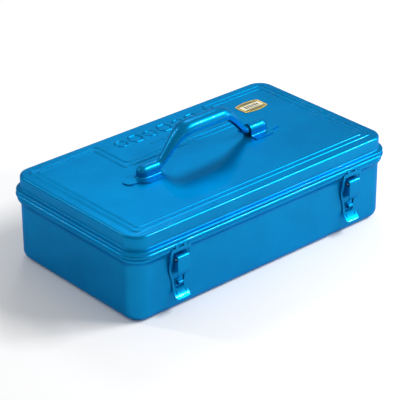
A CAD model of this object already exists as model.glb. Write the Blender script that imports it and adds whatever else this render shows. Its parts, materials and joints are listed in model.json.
"""Looks of the pressed-steel tool box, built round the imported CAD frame.

Shapes are drawn in millimetres and scaled to metres when they become meshes. "Out" is the distance
outward from the nominal wall planes of the shells, as it is in the CAD model.
"""
import json
import math

import bmesh
import bpy
from mathutils import Matrix, Vector
from mathutils.geometry import tessellate_polygon


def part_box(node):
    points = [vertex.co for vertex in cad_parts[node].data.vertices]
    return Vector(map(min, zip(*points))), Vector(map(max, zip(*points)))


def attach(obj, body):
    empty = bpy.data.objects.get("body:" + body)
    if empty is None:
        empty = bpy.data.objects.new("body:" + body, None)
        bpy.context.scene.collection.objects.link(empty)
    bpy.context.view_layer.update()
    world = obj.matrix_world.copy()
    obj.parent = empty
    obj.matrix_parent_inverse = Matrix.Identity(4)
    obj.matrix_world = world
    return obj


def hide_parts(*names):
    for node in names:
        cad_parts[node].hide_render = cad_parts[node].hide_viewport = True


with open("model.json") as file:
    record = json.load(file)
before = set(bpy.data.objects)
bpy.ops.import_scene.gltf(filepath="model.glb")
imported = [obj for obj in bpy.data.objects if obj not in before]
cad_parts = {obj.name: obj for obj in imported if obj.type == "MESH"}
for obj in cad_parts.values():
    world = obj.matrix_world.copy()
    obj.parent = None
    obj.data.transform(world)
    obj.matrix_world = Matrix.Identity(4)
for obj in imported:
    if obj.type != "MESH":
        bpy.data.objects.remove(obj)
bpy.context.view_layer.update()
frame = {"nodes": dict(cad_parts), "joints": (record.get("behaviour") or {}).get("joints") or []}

MM = 0.001


def corners(node):
    """Lowest and highest corner of a CAD node in millimetres."""
    low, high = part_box(node)
    return low / MM, high / MM


# ---- dimensions taken from the frame, or shared with it -----------------------------------------

SHELL_SHEET = 0.8
HANDLE_SHEET = 1.4
BRACKET_SHEET = 1.2
LATCH_SHEET = 0.9
STAPLE_SHEET = 0.8
HINGE_SHEET = 1.2
SEAT_GAP = 0.1
NECK_OUT = 3.8
NECK_ROLL_R = 1.5
BOTTOM_R = 9
RIDGE_HEIGHT = 1.1

body_low, body_high = corners("body_shell")
lid_low, lid_high = corners("lid_shell")
HALF_LENGTH = body_high.x - NECK_OUT
HALF_DEPTH = body_high.y - NECK_OUT
SEAM_Z = body_high.z
RIM_OUT = lid_high.x - HALF_LENGTH
PANEL_Z = lid_high.z - RIDGE_HEIGHT

CREASE_Z = SEAM_Z - 8.6
BEAD_R = 2.1
BEAD_OUT = RIM_OUT - BEAD_R
BEAD_Z = SEAM_Z + SEAT_GAP + BEAD_R
FLARE_Z = SEAM_Z + 9
LID_EDGE_R = 3
CORNER_R = 18
SHOULDER_R = 1.7
SHOULDER_INSET = 2.2

joints = {joint["name"]: joint for joint in frame["joints"]}
PIVOT_Z = joints["handle_fold"]["pos_m"][2] / MM
LATCH_X = joints["hasp_right_swing"]["pos_m"][0] / MM
NOSE_OUT = -joints["nose_right_press"]["pos_m"][1] / MM - HALF_DEPTH
NOSE_Z = joints["nose_right_press"]["pos_m"][2] / MM
HINGE_OUT = joints["lid_hinge"]["pos_m"][1] / MM - HALF_DEPTH
LOOP_X = 5.3
LOOP_HALF_WIDTH = 1.8
SLOT_HALF_WIDTH = 2.3
FOLD_R = 0.9


# ---- drawing helpers ------------------------------------------------------------------------------


def lerp(a, b, t):
    return a + (b - a) * t


def smooth(t):
    t = min(max(t, 0), 1)
    return t * t * (3 - 2 * t)


def arc(cx, cy, radius, start, end, steps):
    """Points on a circle between two angles in degrees, both ends included."""
    points = []
    for i in range(steps + 1):
        angle = math.radians(lerp(start, end, i / steps))
        points.append((cx + radius * math.cos(angle), cy + radius * math.sin(angle)))
    return points


def spline(points, steps):
    """A Catmull-Rom curve through the points, with that many steps between neighbours."""
    ends = [points[0], *points, points[-1]]
    curve = []
    for a, b, c, d in zip(ends, ends[1:], ends[2:], ends[3:]):
        for i in range(steps):
            t = i / steps
            curve.append(tuple(
                0.5 * (2 * q + (r - p) * t + (2 * p - 5 * q + 4 * r - s) * t**2
                       + (3 * q - p - 3 * r + s) * t**3)
                for p, q, r, s in zip(a, b, c, d)
            ))
    return [*curve, tuple(points[-1])]


class Skin:
    """Collects vertices in millimetres and faces, then becomes one Blender object."""

    def __init__(self):
        self.points = []
        self.faces = []

    def add(self, points):
        start = len(self.points)
        self.points.extend(points)
        return list(range(start, start + len(points)))

    def strip(self, first, second, closed=False, keep=lambda i: True):
        """Quads between two rows of vertices."""
        count = len(first) if closed else len(first) - 1
        for i in range(count):
            j = (i + 1) % len(first)
            if keep(i):
                self.faces.append((first[i], first[j], second[j], second[i]))

    def rows(self, rows, closed=False):
        made = [self.add(row) for row in rows]
        for first, second in zip(made, made[1:]):
            self.strip(first, second, closed)
        return made

    def fill(self, loops):
        """Flat triangles between loops of vertices: the first is the outline, the rest are holes."""
        flat = [index for loop in loops for index in loop]
        outlines = [[Vector(self.points[index]) for index in loop] for loop in loops]
        for triangle in tessellate_polygon(outlines):
            self.faces.append(tuple(flat[i] for i in triangle))

    def include(self, blank):
        """Takes in a bent blank, a pair of points and faces."""
        points, faces = blank
        start = len(self.points)
        self.points.extend(points)
        self.faces.extend(tuple(index + start for index in face) for face in faces)

    def mesh(self, name, outward=True):
        mesh = bpy.data.meshes.new(name)
        mesh.from_pydata([tuple(value * MM for value in point) for point in self.points], [], self.faces)
        edit = bmesh.new()
        edit.from_mesh(mesh)
        bmesh.ops.remove_doubles(edit, verts=edit.verts, dist=0.002 * MM)
        if outward:
            bmesh.ops.recalc_face_normals(edit, faces=edit.faces)
        edit.to_mesh(mesh)
        edit.free()
        return mesh


class Section:
    """A line of [out, z] points that a sheet follows, read by a level: its z, or the length along it."""

    def __init__(self, points, by_height=False, facing=1):
        self.points = points
        self.facing = facing
        if by_height:
            self.levels = [z for _, z in points]
        else:
            self.levels = [0]
            for a, b in zip(points, points[1:]):
                self.levels.append(self.levels[-1] + math.dist(a, b))
        self.sign = 1 if self.levels[-1] > self.levels[0] else -1

    def at(self, level):
        """The point at a level, and the direction that its face looks in."""
        k = 0
        while k < len(self.levels) - 2 and self.sign * (level - self.levels[k + 1]) > 0:
            k += 1
        (out0, z0), (out1, z1) = self.points[k], self.points[k + 1]
        t = (level - self.levels[k]) / (self.levels[k + 1] - self.levels[k])
        length = math.dist(self.points[k], self.points[k + 1])
        normal = (self.facing * (z0 - z1) / length, self.facing * (out1 - out0) / length)
        return (lerp(out0, out1, t), lerp(z0, z1, t)), normal


def bent_blank(section, outline, holes=(), centre=0, wall=-1, fold_x=None, fold_r=1):
    """A flat blank of [x, level] points, bent to a section.

    Beyond fold_x its sides fold in toward the wall. The wall is -1 for the front and 1 for the rear.
    """
    edit = bmesh.new()
    loops = [outline, *holes]
    corner = [edit.verts.new((x, level, 0)) for loop in loops for x, level in loop]
    for triangle in tessellate_polygon([[Vector((x, level, 0)) for x, level in loop] for loop in loops]):
        edit.faces.new([corner[i] for i in triangle])

    def cut(co, no):
        geometry = edit.verts[:] + edit.edges[:] + edit.faces[:]
        bmesh.ops.bisect_plane(edit, geom=geometry, dist=1e-4, plane_co=co, plane_no=no)

    for level in section.levels:
        cut((0, level, 0), (0, 1, 0))
    if fold_x:
        for i in range(5):
            x = fold_x - fold_r + fold_r * math.radians(22.5 * i)
            cut((x, 0, 0), (1, 0, 0))
            cut((-x, 0, 0), (1, 0, 0))
    bmesh.ops.dissolve_degenerate(edit, dist=1e-3, edges=edit.edges)
    bmesh.ops.recalc_face_normals(edit, faces=edit.faces)
    edit.verts.index_update()
    points = []
    for vertex in edit.verts:
        x, level, _ = vertex.co
        (out, z), (normal_out, normal_z) = section.at(level)
        extra = abs(x) - (fold_x - fold_r) if fold_x else 0
        if extra > 0:
            angle = min(extra / fold_r, math.pi / 2)
            inward = fold_r * (1 - math.cos(angle)) + max(extra - fold_r * math.pi / 2, 0)
            x = math.copysign(fold_x - fold_r + fold_r * math.sin(angle), x)
            out, z = out - inward * normal_out, z - inward * normal_z
        points.append((centre + x, wall * (HALF_DEPTH + out), z))
    faces = [tuple(vertex.index for vertex in face.verts) for face in edit.faces]
    middle = max(edit.faces, key=lambda face: face.calc_area())
    _, (normal_out, normal_z) = section.at(middle.calc_center_median().y)
    a, b, c = (Vector(points[vertex.index]) for vertex in middle.verts[:3])
    if (b - a).cross(c - a).dot(Vector((0, wall * normal_out, normal_z))) < 0:
        faces = [face[::-1] for face in faces]
    edit.free()
    return points, faces


def place(name, mesh, material, body, replaced=(), thickness=0, bevel=0, sharp=35, even=True):
    """Makes the object: a skin gets its sheet thickness inward, and its edges are softened."""
    piece = bpy.data.objects.new(name, mesh)
    bpy.context.scene.collection.objects.link(piece)
    mesh.materials.append(material)
    mesh.shade_smooth()
    if thickness:
        solid = piece.modifiers.new("sheet", "SOLIDIFY")
        solid.thickness = thickness * MM
        solid.offset = -1
        solid.use_even_offset = even
    if bevel:
        edge = piece.modifiers.new("edges", "BEVEL")
        edge.width = bevel * MM
        edge.segments = 2
        edge.limit_method = "ANGLE"
        edge.angle_limit = math.radians(sharp)
        edge.harden_normals = True
    flat = piece.modifiers.new("flat_faces", "WEIGHTED_NORMAL")
    flat.mode = "FACE_AREA"
    flat.weight = 100
    flat.keep_sharp = True
    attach(piece, body)
    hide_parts(*replaced)


# ---- materials ------------------------------------------------------------------------------------


def new_material(name):
    material = bpy.data.materials.new(name)
    material.use_nodes = True
    nodes = material.node_tree.nodes
    return material, nodes, material.node_tree.links, nodes["Principled BSDF"]


def noise(nodes, links, scale, detail=2.0):
    where = nodes.new("ShaderNodeTexCoord")
    texture = nodes.new("ShaderNodeTexNoise")
    texture.inputs["Scale"].default_value = scale
    texture.inputs["Detail"].default_value = detail
    links.new(where.outputs["Object"], texture.inputs["Vector"])
    return texture.outputs["Fac"]


def ramp(nodes, links, value, low, high):
    band = nodes.new("ShaderNodeValToRGB")
    first, last = band.color_ramp.elements
    first.position, last.position = 0.35, 0.65
    first.color, last.color = low, high
    links.new(value, band.inputs["Fac"])
    return band.outputs["Color"]


def grey_ramp(nodes, links, value, low, high):
    return ramp(nodes, links, value, (low, low, low, 1), (high, high, high, 1))


def bump(nodes, links, shader, height, strength, distance):
    node = nodes.new("ShaderNodeBump")
    node.inputs["Strength"].default_value = strength
    node.inputs["Distance"].default_value = distance * MM
    links.new(height, node.inputs["Height"])
    links.new(node.outputs["Normal"], shader.inputs["Normal"])


def blue_paint():
    """Stoved metallic enamel: a faint mottle in the colour, and a fine orange peel under the gloss."""
    material, nodes, links, shader = new_material("blue_enamel")
    mottle = noise(nodes, links, 26, 3)
    colour = ramp(nodes, links, mottle, (0.0, 0.202, 0.46, 1), (0.0, 0.23, 0.51, 1))
    links.new(colour, shader.inputs["Base Color"])
    grain = noise(nodes, links, 700)
    links.new(grey_ramp(nodes, links, grain, 0.33, 0.41), shader.inputs["Roughness"])
    bump(nodes, links, shader, noise(nodes, links, 900, 1), 0.06, 0.05)
    shader.inputs["Metallic"].default_value = 0.7
    shader.inputs["Specular Tint"].default_value = (0.02, 0.5, 0.9, 1)
    shader.inputs["Specular IOR Level"].default_value = 0
    shader.inputs["Coat Weight"].default_value = 0.1
    shader.inputs["Coat Roughness"].default_value = 0.06
    return material


def plated_steel():
    """Bright zinc plate with a fine brushed grain."""
    material, nodes, links, shader = new_material("zinc_plate")
    grain = noise(nodes, links, 900, 3)
    colour = ramp(nodes, links, grain, (0.5, 0.52, 0.55, 1), (0.72, 0.74, 0.77, 1))
    links.new(colour, shader.inputs["Base Color"])
    links.new(grey_ramp(nodes, links, grain, 0.25, 0.42), shader.inputs["Roughness"])
    bump(nodes, links, shader, grain, 0.15, 0.03)
    shader.inputs["Metallic"].default_value = 1
    return material


def foil(name, low, high, metallic, roughness):
    """Printed foil: the ink's colour drifts a little and the foil is faintly rippled."""
    material, nodes, links, shader = new_material(name)
    drift = noise(nodes, links, 160, 3)
    links.new(ramp(nodes, links, drift, (*low, 1), (*high, 1)), shader.inputs["Base Color"])
    links.new(grey_ramp(nodes, links, drift, roughness, roughness + 0.1), shader.inputs["Roughness"])
    bump(nodes, links, shader, noise(nodes, links, 400), 0.1, 0.03)
    shader.inputs["Metallic"].default_value = metallic
    return material


PAINT = blue_paint()
ZINC = plated_steel()
GOLD = foil("gold_foil", (0.62, 0.42, 0.1), (0.75, 0.52, 0.14), 0.8, 0.3)
OLIVE = foil("olive_ink", (0.2, 0.17, 0.03), (0.25, 0.21, 0.05), 0.2, 0.4)
CREAM = foil("cream_ink", (0.72, 0.66, 0.42), (0.8, 0.74, 0.5), 0, 0.45)
INK = foil("dark_ink", (0.05, 0.07, 0.1), (0.08, 0.1, 0.14), 0, 0.5)


# ---- shells ---------------------------------------------------------------------------------------

CORNER_STEPS = 14
BEAD_STEPS = 9
PAD_STEPS = 5
SMALL_CORNER_R = 1.6


def shell_loop(out, radius, z, cuts=()):
    """One level of a shell, as a rounded rectangle. Cuts are x places on the front side that get a vertex."""
    x = HALF_LENGTH + out - radius
    y = HALF_DEPTH + out - radius
    front = [(cut, -y - radius) for cut in sorted(cuts)]
    outline = [
        *arc(-x, -y, radius, 180, 270, CORNER_STEPS),
        *front,
        *arc(x, -y, radius, 270, 360, CORNER_STEPS),
        *arc(x, y, radius, 0, 90, CORNER_STEPS),
        *arc(-x, y, radius, 90, 180, CORNER_STEPS),
    ]
    return [(px, py, z) for px, py in outline]


def body_shell():
    """Tray: rounded bottom, straight wall, then a neck flared outward that the lid's rim sits on."""
    neck = spline([
        (0, CREASE_Z - 3.4), (0.2, CREASE_Z - 1.2), (1.0, CREASE_Z + 1.1),
        (2.3, CREASE_Z + 3.2), (3.3, SEAM_Z - 3.8), (3.7, SEAM_Z - 2.5),
    ], 4)
    profile = [
        *arc(-BOTTOM_R, BOTTOM_R, BOTTOM_R, -90, 0, 10),
        *neck,
        *arc(NECK_OUT - NECK_ROLL_R, SEAM_Z - NECK_ROLL_R, NECK_ROLL_R, 0, 90, 6),
        (0.6, SEAM_Z),
    ]
    skin = Skin()
    rows = skin.rows([shell_loop(out, CORNER_R + out, z) for out, z in profile], closed=True)
    skin.fill([rows[0]])
    place("tray", skin.mesh("tray"), PAINT, "body", ["body_shell"],
          thickness=SHELL_SHEET, even=False)


def ridge_outline(half_x, half_y, notch_x, notch_y, radius, grow):
    """A rectangle with a notch in its rear side, offset by grow, with rounded corners."""
    sharp_corners = [
        (-half_x, -half_y), (half_x, -half_y), (half_x, half_y), (notch_x, half_y),
        (notch_x, notch_y), (-notch_x, notch_y), (-notch_x, half_y), (-half_x, half_y),
    ]
    return rounded(sharp_corners, radius, grow)


def rounded(sharp_corners, radius, grow, steps=8):
    """A closed outline of right-angled corners, offset by grow, each corner an arc."""
    outline = []
    previous = sharp_corners[-1:] + sharp_corners
    following = sharp_corners[1:] + sharp_corners
    for before, here, after in zip(previous, sharp_corners, following):
        into = (Vector(here) - Vector(before)).normalized()
        leave = (Vector(after) - Vector(here)).normalized()
        turn = into.x * leave.y - into.y * leave.x
        corner = Vector(here) + grow * Vector((into.y + leave.y, -into.x - leave.x))
        r = radius + grow * turn
        centre = corner + r * (leave - into)
        start = math.degrees(math.atan2(-leave.y, -leave.x))
        outline.extend(arc(centre.x, centre.y, r, start, start + 90 * turn, steps))
    return outline


def hexagon(cx, cy, across, grow):
    """A hexagon with softened corners, offset by grow."""
    reach = across / math.sqrt(3)
    outline = []
    for side in range(6):
        angle = 60 * side
        turn = math.radians(angle)
        corner = (cx + (reach - 2) * math.cos(turn), cy + (reach - 2) * math.sin(turn))
        outline.extend(arc(*corner, SMALL_CORNER_R + grow, angle - 30, angle + 30, 4))
    return outline


def circle(cx, cy, radius, steps=28):
    return arc(cx, cy, radius, 0, 360, steps)[:-1]


def pressed_bead(skin, outline, half_width, height):
    """A raised line pressed into the panel. Returns its outermost and innermost loops."""
    loops = []
    for i in range(BEAD_STEPS):
        offset = lerp(half_width, -half_width, i / (BEAD_STEPS - 1))
        rise = height * 0.5 * (1 + math.cos(math.pi * offset / half_width))
        loops.append(skin.add([(x, y, PANEL_Z + rise) for x, y in outline(offset)]))
    for first, second in zip(loops, loops[1:]):
        skin.strip(first, second, closed=True)
    return loops[0], loops[-1]


def pressed_pad(skin, outline, slope, height):
    """A raised pad with sloping sides. Returns its foot loop."""
    loops = []
    for i in range(PAD_STEPS + 1):
        t = i / PAD_STEPS
        loops.append(skin.add([(x, y, PANEL_Z + height * smooth(t)) for x, y in outline(-slope * t)]))
    for first, second in zip(loops, loops[1:]):
        skin.strip(first, second, closed=True)
    skin.fill([loops[-1]])
    return loops[0]


def bar(cx, cy, half_x, half_y, grow):
    sharp_corners = [
        (cx - half_x, cy - half_y), (cx + half_x, cy - half_y),
        (cx + half_x, cy + half_y), (cx - half_x, cy + half_y),
    ]
    return rounded(sharp_corners, SMALL_CORNER_R, grow, 4)


def lid_shell():
    """Lid: beaded rim rolled round a wire, shoulder, low wall, and a flat panel with pressed ridges."""
    cuts = [
        side * LATCH_X + loop * LOOP_X + edge * SLOT_HALF_WIDTH
        for side in (-1, 1) for loop in (-1, 1) for edge in (-1, 1)
    ]
    bead = arc(BEAD_OUT, BEAD_Z, BEAD_R, -190, 60, 24)
    shoulder = [
        (RIM_OUT - 1.22, BEAD_Z + 2.1),
        (RIM_OUT - 1.28, BEAD_Z + 2.45),
        *arc(RIM_OUT - SHOULDER_INSET, FLARE_Z - SHOULDER_INSET, SHOULDER_R, -48, 62, 10),
    ]
    foot = spline([
        (2.5, FLARE_Z - 0.35), (1.2, FLARE_Z + 0.15), (0.35, FLARE_Z + 0.7), (0.05, FLARE_Z + 1.8),
    ], 3)
    edge = arc(-LID_EDGE_R, PANEL_Z - LID_EDGE_R, LID_EDGE_R, 0, 90, 9)
    profile = [*bead, *shoulder, *foot, *edge]
    skin = Skin()
    rows = [skin.add(shell_loop(out, CORNER_R + out, z, cuts)) for out, z in profile]
    first_cut = CORNER_STEPS + 1
    slots = {first_cut + 2 * i for i in range(len(cuts) // 2)}
    for k, (lower, upper) in enumerate(zip(rows, rows[1:])):
        rolled = k < len(bead) - 1
        skin.strip(lower, upper, closed=True, keep=lambda i: not (rolled and i in slots))

    outer_out, outer_in = pressed_bead(
        skin, lambda grow: ridge_outline(163.6, 86, 74, 35.6, 5.5, grow), 1.9, RIDGE_HEIGHT)
    inner_out, inner_in = pressed_bead(
        skin, lambda grow: ridge_outline(156.3, 79, 82, 28, 3, grow), 1.7, RIDGE_HEIGHT * 0.9)
    feet = []
    centres = []
    for i in range(6):
        x = -50 + 20 * i
        shape = (lambda grow: hexagon(x, 74, 15, grow)) if i % 2 else (lambda grow: circle(x, 74, 6.6 + grow))
        out_loop, in_loop = pressed_bead(skin, shape, 1.5, 1.05)
        feet.append(out_loop)
        centres.append(in_loop)
    for loop in centres:
        skin.fill([loop])
    for i in range(7):
        x = -24 + 8 * i
        feet.append(pressed_pad(skin, lambda grow: bar(x, 54, 2.4, 2.6, grow), 1.2, 0.45))
    skin.fill([rows[-1], outer_out, *feet])
    skin.strip(outer_in, inner_out, closed=True)
    skin.fill([inner_in])
    place("lid", skin.mesh("lid"), PAINT, "lid", ["lid_shell"],
          thickness=SHELL_SHEET, even=False)


# ---- handle and its brackets ----------------------------------------------------------------------

GRIP_TOP = 38.45
STUB_R = 4.4
CHANNEL_TOP = 0.72
CHANNEL_LEG = 0.28
CHANNEL_ROUNDNESS = 0.92


def channel_section(half_width, depth, closing, steps=36):
    """The handle's section as [across, below the top line]: an open channel that closes into a tube."""
    points = []
    rise = min(0.82 * half_width, 0.8 * depth)
    for i in range(steps + 1):
        u = 2 * i / steps - 1
        side = math.copysign(1, u)
        bend = min(abs(u) / CHANNEL_TOP, 1) * math.pi / 2
        drop = max(abs(u) - CHANNEL_TOP, 0) / CHANNEL_LEG * (depth - rise)
        channel = (
            side * half_width * math.sin(bend) ** CHANNEL_ROUNDNESS,
            -rise * (1 - math.cos(bend) ** CHANNEL_ROUNDNESS) - drop,
        )
        around = math.radians(170) * u
        tube = (STUB_R * math.sin(around), -STUB_R * (1 - math.cos(around)))
        points.append(tuple(lerp(a, b, closing) for a, b in zip(channel, tube)))
    return points


def handle():
    """Pressed channel grip; each leg closes into a round pivot that turns inside a bracket's dome."""
    half = [
        (0, GRIP_TOP), (14, GRIP_TOP), (25, 37.9), (33, 35), (39.5, 29.6), (46, 22.2),
        (54, 12.4), (58.6, 7.2), (62.4, 4.7), (67, STUB_R), (82, STUB_R),
    ]
    right = spline(half, 5)
    line = [(-x, z) for x, z in right[:0:-1]] + right
    rows = []
    for i, (x, z) in enumerate(line):
        before, after = line[max(i - 1, 0)], line[min(i + 1, len(line) - 1)]
        slope = math.atan2(before[1] - after[1], after[0] - before[0])
        reach = smooth((abs(x) - 26) / 34)
        closing = smooth((abs(x) - 55) / 9)
        section = channel_section(lerp(10, 5, reach), lerp(11, 6.5, reach), closing)
        rows.append([
            (x + up * math.sin(slope), across, PIVOT_Z + z + up * math.cos(slope)) for across, up in section
        ])
    skin = Skin()
    skin.rows(rows)
    skin.faces = [face[::-1] for face in skin.faces]
    place("carry_handle", skin.mesh("carry_handle", outward=False), PAINT, "handle",
          ["handle"], thickness=HANDLE_SHEET, bevel=0.45, sharp=60)


def bracket(side, word):
    """Bracket: a flange with a tongue, and a pressed dome that holds the handle's pivot."""
    low, high = corners(f"handle_bracket_{word}")
    near = min(abs(low.x), abs(high.x))
    far = max(abs(low.x), abs(high.x))
    dome_r, dome_end, stretch, fillet = 6.6, 81, 1.3, 1.8
    base = PANEL_Z + SEAT_GAP + BRACKET_SHEET
    rise = PIVOT_Z - base
    side_line = []
    for degrees in range(0, 91, 9):
        a = math.radians(degrees)
        side_line.append((dome_r * math.sin(a), rise + dome_r * math.cos(a)))
    for degrees in range(0, 91, 15):
        a = math.radians(degrees)
        side_line.append((dome_r + fillet * (1 - math.cos(a)), fillet * (1 - math.sin(a))))
    skin = Skin()
    rows = []
    for reach, rise_z in side_line:
        row = [(x, reach) for x in (near, near + 5, near + 10, near + 15)]
        row += [(dome_end + stretch * x, y) for x, y in arc(0, 0, reach, 90, -90, 24)]
        row += [(x, -reach) for x in (near + 15, near + 10, near + 5, near)]
        rows.append([(x, y, base + rise_z) for x, y in row])
    made = skin.rows(rows)
    tongue = 7
    half_width = max(abs(low.y), abs(high.y))
    edge = spline([
        (near + 19, half_width), (near + 22.5, half_width - 0.5), (near + 26, half_width - 2.4),
        (near + 29, tongue + 2), (near + 32.5, tongue + 0.3), (far - tongue, tongue),
    ], 4)
    edge = [(near, half_width), *edge, *arc(far - tongue, 0, tongue, 90, 0, 8)[1:]]
    outline = [*edge, *[(x, -y) for x, y in edge[-2::-1]]]
    rim = skin.add([(x, y, base) for x, y in outline])
    skin.fill([[*rim, *made[-1][::-1]]])
    if side < 0:
        skin.points = [(-x, y, z) for x, y, z in skin.points]
    mesh = skin.mesh(f"bracket_{word}")
    if sum(face.normal.z * face.area for face in mesh.polygons) < 0:
        mesh.flip_normals()
    place(f"bracket_{word}", mesh, PAINT, "lid", [f"handle_bracket_{word}"],
          thickness=BRACKET_SHEET, bevel=0.16, sharp=50)


# ---- latches ----------------------------------------------------------------------------------------


def mirrored(half):
    """A closed outline from its right half, listed from the top down."""
    return [*half, *[(-x, level) for x, level in reversed(half)]]


def without_repeats(outline):
    kept = []
    for point in outline:
        if not kept or math.dist(point, kept[-1]) > 1e-3:
            kept.append(point)
    if math.dist(kept[0], kept[-1]) < 1e-3:
        kept.pop()
    return kept


def hasp(side, word):
    """Frame of sheet steel that hangs on the rim wire by two rolled loops and ends in a finger tab."""
    loop_r, half, tab, top_z = 2.05, 13.2, 9, SEAM_Z - 0.8
    face_out = BEAD_OUT + loop_r
    face = spline([
        (9.4, 16.1), (7.1, 18), (4.7, 20.5), (2.7, 23.6), (1.6, 27), (1.3, 31), (1.5, 42),
        (2.3, 49), (3.9, 57), (4.7, 62.5), (face_out, 67), (face_out, top_z + 0.2),
    ], 5)
    ear = 14.9
    outline = without_repeats(mirrored([
        (0, top_z), *arc(half - 3, top_z - 3, 3, 90, 0, 6),
        (half, 67.6), (ear, 65.8), (ear, 50.6), (half, 48.4),
        *spline([(half, 48), (half - 0.5, 45.2), (tab + 1.4, 37.5), (tab, 31.5), (tab, 24)], 4),
        *arc(tab - 2.2, 18.6, 2.2, 0, -80, 6), (0, 16.2),
    ]))
    window = without_repeats(mirrored([
        (0, 68.2), *arc(half - 4.3, 66.7, 1.5, 90, 0, 4), (half - 2.8, 49),
        *spline([(half - 3, 46.5), (half - 4.2, 42), (7.1, 36.5), (6.2, 31)], 4),
        *arc(4.2, 27.2, 2, 0, -90, 5), (0, 24.9),
    ]))
    slots = [
        [(x - 0.55, 19.8), (x + 0.55, 19.8), (x + 0.55, 23.2), (x - 0.55, 23.2)] for x in (-6, 6)
    ]
    skin = Skin()
    centre = side * LATCH_X
    section = Section(face, by_height=True, facing=-1)
    skin.include(bent_blank(section, outline, [window, *slots], centre, fold_x=half, fold_r=FOLD_R))
    roll = [(face_out, top_z - 0.6), (face_out, BEAD_Z - 1), *arc(BEAD_OUT, BEAD_Z, loop_r, 0, 255, 20)]
    loop_section = Section(roll, facing=-1)
    for x in (-LOOP_X, LOOP_X):
        left, right, end = x - LOOP_HALF_WIDTH, x + LOOP_HALF_WIDTH, loop_section.levels[-1]
        strap = [(left, 0), (right, 0), (right, end), (left, end)]
        skin.include(bent_blank(loop_section, strap, centre=centre))
    name = f"hasp_{word}"
    place(name, skin.mesh(name, outward=False), PAINT, name,
          [f"latch_{word}_hasp"], thickness=LATCH_SHEET, bevel=0.22, sharp=50)


def nose(side, word):
    """Sprung catch: a cover whose top is rolled round its pin, with a cheek folded in on each side."""
    roll_r, half = 4, 7.9
    front = NOSE_OUT + roll_r
    top = arc(NOSE_OUT, NOSE_Z, roll_r, 205, 12, 20)
    lower = spline([
        (front - 0.22, NOSE_Z - 0.6), (front - 0.12, NOSE_Z - 2.2), (front - 0.08, 53),
        (front - 0.1, 47.6), (front - 0.9, 44.4), (front - 2.9, 41.9), (front - 5.2, 40.5),
    ], 5)
    section = Section([*top, *lower], facing=1)
    end = section.levels[-1]
    start_cheek = section.levels[len(top) + 5]
    stop_cheek = section.levels[len(top) + 16]
    ear = half + 5.2
    outline = without_repeats(mirrored([
        (0, 0), (half + 0.5, 0), (half + 0.5, start_cheek), (ear, start_cheek + 1.4),
        (ear, stop_cheek - 1.5), (half + 0.5, stop_cheek), (half - 1.2, stop_cheek + 3.2),
        (half - 2.6, end - 1.2), (half - 3.4, end), (0, end),
    ]))
    skin = Skin()
    skin.include(bent_blank(section, outline, centre=side * LATCH_X, fold_x=half, fold_r=FOLD_R))
    name = f"nose_{word}"
    place(name, skin.mesh(name, outward=False), PAINT, name,
          [f"latch_{word}_nose"], thickness=LATCH_SHEET, bevel=0.22, sharp=50)


def staple(side, word):
    """Padlock eye: a strap bowed out of its base plate."""
    low, high = corners(f"latch_{word}_staple")
    middle = (low.z + high.z) / 2 - 0.3
    bow = [(0.9, middle - 3.2), *arc(2.66, middle, 2.2, -90, 90, 14), (0.9, middle + 3.2)]
    skin = Skin()
    centre = side * LATCH_X
    strap = Section(bow, facing=-1)
    end = strap.levels[-1]
    skin.include(bent_blank(strap, [(-3, 0), (3, 0), (3, end), (-3, end)], centre=centre))
    plate = Section([(0.9, low.z), (0.9, high.z)], by_height=True, facing=-1)
    base = [(-4.6, low.z), (4.6, low.z), (4.6, high.z), (-4.6, high.z)]
    skin.include(bent_blank(plate, base, centre=centre))
    name = f"staple_{word}"
    place(name, skin.mesh(name, outward=False), PAINT, "body",
          [f"latch_{word}_staple"], thickness=STAPLE_SHEET, bevel=0.2, sharp=50)


# ---- label --------------------------------------------------------------------------------------------


def barrel(half_x, half_side, half_y, steps=12):
    """An outline with straight ends and bowed long sides."""
    top = []
    for i in range(steps + 1):
        u = 1 - 2 * i / steps
        top.append((half_x * u, half_side + (half_y - half_side) * (1 - u * u)))
    return top + [(-x, -y) for x, y in top]


def label():
    """Foil plate with a raised border, a pale band between two darker ones, and plain bars for print."""
    low, high = corners("lid_label")
    centre = (low + high) / 2
    half_x, half_y = (high.x - low.x) / 2, (high.y - low.y) / 2

    def sheet(name, outlines, level, depth, material, replaced=(), bevel=0.08):
        skin = Skin()
        for outline in outlines:
            upper = skin.add([(centre.x + x, centre.y + y, low.z + level) for x, y in outline])
            lower = skin.add([(centre.x + x, centre.y + y, low.z + level - depth) for x, y in outline])
            skin.strip(lower, upper, closed=True)
            skin.fill([upper])
            skin.fill([lower])
        place(name, skin.mesh(name), material, "lid", replaced, bevel=bevel)

    def block(cx, cy, block_x, block_y):
        return [(cx - block_x, cy - block_y), (cx + block_x, cy - block_y),
                (cx + block_x, cy + block_y), (cx - block_x, cy + block_y)]

    border, side = 1.5, half_y - 3.2
    sheet("label_plate", [barrel(half_x, side, half_y)], 0.42, 0.4, GOLD, ["lid_label"])
    rim = Skin()
    loops = []
    for inset, rise in ((0.15, 0.4), (0.4, 0.56), (border - 0.3, 0.56), (border, 0.4)):
        outline = barrel(half_x - inset, side - inset, half_y - inset)
        loops.append([(centre.x + x, centre.y + y, low.z + rise) for x, y in outline])
    rim.rows(loops, closed=True)
    place("label_border", rim.mesh("label_border"), GOLD, "lid")
    sheet("label_field", [barrel(half_x - border, side - border, half_y - border)], 0.46, 0.1, OLIVE)
    sheet("label_band", [block(0, 0, half_x - 2.6, 4.9)], 0.51, 0.1, CREAM)
    bars = [block(-1.5 + 3.4 * i, 0.4, 1.1, 2.5 - 0.5 * (i % 2)) for i in range(-2, 4)]
    bars += [block(0, -3.6, 9.5, 0.35), block(0, 7.4, 5.5, 0.6), block(0, -7.4, 7.5, 0.5)]
    sheet("label_bars", bars, 0.56, 0.1, INK, bevel=0)


# ---- hinges --------------------------------------------------------------------------------------------

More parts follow.
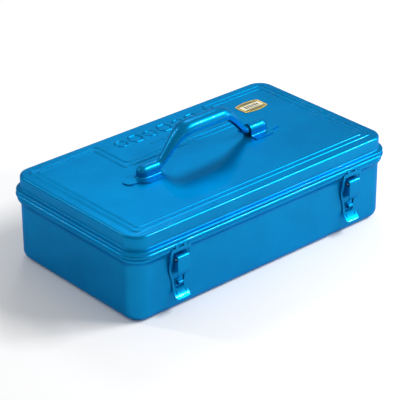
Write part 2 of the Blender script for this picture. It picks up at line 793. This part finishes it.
KNUCKLE_R = 3
KNUCKLE_GAP = 0.2
WELD_BUTTON = ((2.6, 0.02), (2.4, 0.2), (2.0, 0.38), (1.4, 0.5), (0.6, 0.56))


def lathe_x(skin, profile, y, z, sides=28):
    """Turns [x, radius] points about a line along X."""
    rows = []
    for x, radius in profile:
        rows.append(skin.add([(x, y + dy, z + dz) for dy, dz in circle(0, 0, radius, sides)]))
    for first, second in zip(rows, rows[1:]):
        skin.strip(first, second, closed=True)
    skin.fill([rows[0]])
    skin.fill([rows[-1]])


def hinge_leaf(word, part):
    """Leaf of sheet steel whose edge is rolled round the pin: one roll on the lid, two on the tray."""
    node = f"hinge_{word}_{part}_leaf"
    low, high = corners(node)
    centre, half = (low.x + high.x) / 2, (high.x - low.x) / 2
    inner, knuckle = HINGE_OUT - KNUCKLE_R, half / 2.5
    if part == "lid":
        back = [
            (1.5, high.z), (1.6, FLARE_Z + 3), (2.6, FLARE_Z + 1),
            (inner - 0.5, FLARE_Z - 0.6), (inner, FLARE_Z - 2.4),
        ]
        turn = (180, 486)
    else:
        back = [(0.4, low.z), (0.4, CREASE_Z - 2), (1.6, CREASE_Z + 1.4), (NECK_OUT + 0.4, SEAM_Z - 3.6)]
        turn = (176, -126)
    line = [*spline(back, 4), *arc(HINGE_OUT, SEAM_Z, KNUCKLE_R, *turn, 30)]
    section = Section(line, facing=-1 if part == "lid" else 1)
    flat = section.levels[-31] - KNUCKLE_R - 0.6
    end = section.levels[-1]
    corner = 4
    rounded_end = [(0, 0), *[(half - corner + x, corner - y) for x, y in arc(0, 0, corner, 90, 0, 6)]]
    if part == "lid":
        edge = [(half, flat), (knuckle - KNUCKLE_GAP, flat), (knuckle - KNUCKLE_GAP, end), (0, end)]
    else:
        edge = [(half, end), (knuckle + KNUCKLE_GAP, end), (knuckle + KNUCKLE_GAP, flat), (0, flat)]
    skin = Skin()
    skin.include(bent_blank(section, without_repeats(mirrored([*rounded_end, *edge])), centre=centre, wall=1))
    name = f"hinge_{word}_{part}"
    place(name, skin.mesh(name, outward=False), PAINT, part, [node],
          thickness=HINGE_SHEET, bevel=0.2, sharp=50, even=False)
    welds = Skin()
    (out, z), _ = section.at(6 if part == "lid" else 9)
    face = HALF_DEPTH + out + HINGE_SHEET
    for x in (-0.62 * half, 0, 0.62 * half):
        loops = [welds.add([(centre + x + dx, face + rise, z + dz) for dx, dz in circle(0, 0, radius, 20)])
                 for radius, rise in WELD_BUTTON]
        for first, second in zip(loops, loops[1:]):
            welds.strip(first, second, closed=True)
        welds.fill([loops[0]])
        welds.fill([loops[-1]])
    place(f"{name}_welds", welds.mesh(f"{name}_welds"), PAINT, part)


def pins(word):
    """Hinge pin with domed heads, and the short pin of the nose."""
    low, high = corners(f"hinge_{word}_pin")
    head_r = KNUCKLE_R - 0.6
    head = [(0, 0.7), (0.12, 1.5), (0.4, 2.1), (0.7, head_r), (0.9, head_r), (0.92, 1.6)]
    profile = [(low.x + x, radius) for x, radius in head]
    profile += [(high.x - x, radius) for x, radius in reversed(head)]
    skin = Skin()
    lathe_x(skin, profile, HALF_DEPTH + HINGE_OUT, SEAM_Z)
    name = f"hinge_pin_{word}"
    place(name, skin.mesh(name), ZINC, "body", [f"hinge_{word}_pin"])
    low, high = corners(f"latch_{word}_nose_pin")
    length = high.x - low.x
    profile = [(0, 0.8), (0.25, 1.08), (length - 0.25, 1.08), (length, 0.8)]
    skin = Skin()
    lathe_x(skin, [(low.x + x, radius) for x, radius in profile], -HALF_DEPTH - NOSE_OUT, NOSE_Z)
    name = f"nose_pin_{word}"
    place(name, skin.mesh(name), ZINC, "body", [f"latch_{word}_nose_pin"])


# ---- camera, light and floor ------------------------------------------------------------------------


CAMERA_AZIMUTH = math.radians(-41.501)
CAMERA_ELEVATION = math.radians(27.797)
CAMERA_ROLL = math.radians(-0.296)
CAMERA_DISTANCE = 1962.93
CAMERA_SIDE = -3.544
CAMERA_RISE = 36.475
CAMERA_LENS = 164.757
FLOOR_REACH = 12
LIGHT_CENTRE = Vector((0, 0, 0.06))


def camera():
    """A long lens from the front left, aimed along its own back line and then slid sideways and up."""
    azimuth, elevation, roll = CAMERA_AZIMUTH, CAMERA_ELEVATION, CAMERA_ROLL
    right = Vector((math.cos(azimuth), math.sin(azimuth), 0))
    back = Vector((
        math.sin(azimuth) * math.cos(elevation),
        -math.cos(azimuth) * math.cos(elevation),
        math.sin(elevation),
    ))
    up = back.cross(right)
    across = math.cos(roll) * right + math.sin(roll) * up
    upward = -math.sin(roll) * right + math.cos(roll) * up
    data = bpy.data.cameras.new("camera")
    data.sensor_width = 36
    data.lens = CAMERA_LENS
    data.clip_end = 100
    eye = bpy.data.objects.new("camera", data)
    bpy.context.scene.collection.objects.link(eye)
    turn = Matrix((across, upward, back)).transposed().to_4x4()
    where = across * CAMERA_SIDE + upward * CAMERA_RISE + back * CAMERA_DISTANCE
    eye.matrix_world = Matrix.Translation(where * MM) @ turn
    bpy.context.scene.camera = eye


def softbox(name, direction, distance, width, height, power):
    """An area light that looks at the middle of the box."""
    data = bpy.data.lights.new(name, "AREA")
    data.shape = "RECTANGLE"
    data.size, data.size_y = width, height
    data.energy = power
    lamp = bpy.data.objects.new(name, data)
    bpy.context.scene.collection.objects.link(lamp)
    toward = Vector(direction).normalized()
    aim = toward.to_track_quat("Z", "Y").to_matrix().to_4x4()
    lamp.matrix_world = Matrix.Translation(LIGHT_CENTRE + toward * distance) @ aim


def studio():
    """Plain pale floor, even sky light, and four soft lamps."""
    floor = bpy.data.meshes.new("floor")
    reach = FLOOR_REACH
    square = [(-reach, -reach, 0), (reach, -reach, 0), (reach, reach, 0), (-reach, reach, 0)]
    floor.from_pydata(square, [], [(0, 1, 2, 3)])
    ground = bpy.data.objects.new("floor", floor)
    bpy.context.scene.collection.objects.link(ground)
    material, nodes, links, shader = new_material("pale_floor")
    tone = noise(nodes, links, 3)
    links.new(grey_ramp(nodes, links, tone, 0.955, 0.97), shader.inputs["Base Color"])
    shader.inputs["Roughness"].default_value = 0.9
    floor.materials.append(material)
    world = bpy.data.worlds.new("studio")
    world.use_nodes = True
    world.node_tree.nodes["Background"].inputs["Color"].default_value = (1, 1, 1, 1)
    world.node_tree.nodes["Background"].inputs["Strength"].default_value = 0.46
    bpy.context.scene.world = world
    softbox("key", (0.47, 0.58, 0.665), 2.2, 0.5, 0.5, 5)
    softbox("front", (0.586, -0.466, 0.662), 2.2, 1.2, 0.1, 38)
    softbox("side", (0.84, -0.5, 0.22), 2.0, 0.25, 0.25, 10)
    softbox("rear_left", (-0.466, 0.66, 0.586), 2.2, 0.1, 1.0, 6)
    bpy.context.scene.view_settings.view_transform = "Standard"


camera()
studio()
body_shell()
lid_shell()
handle()
label()
for side, word in ((-1, "left"), (1, "right")):
    bracket(side, word)
    hasp(side, word)
    nose(side, word)
    staple(side, word)
    hinge_leaf(word, "lid")
    hinge_leaf(word, "body")
    pins(word)

for name, node in frame["nodes"].items():
    plated = name.endswith(("_pin", "_spring", "_wire"))
    node.data.materials.clear()
    node.data.materials.append(ZINC if plated else PAINT)
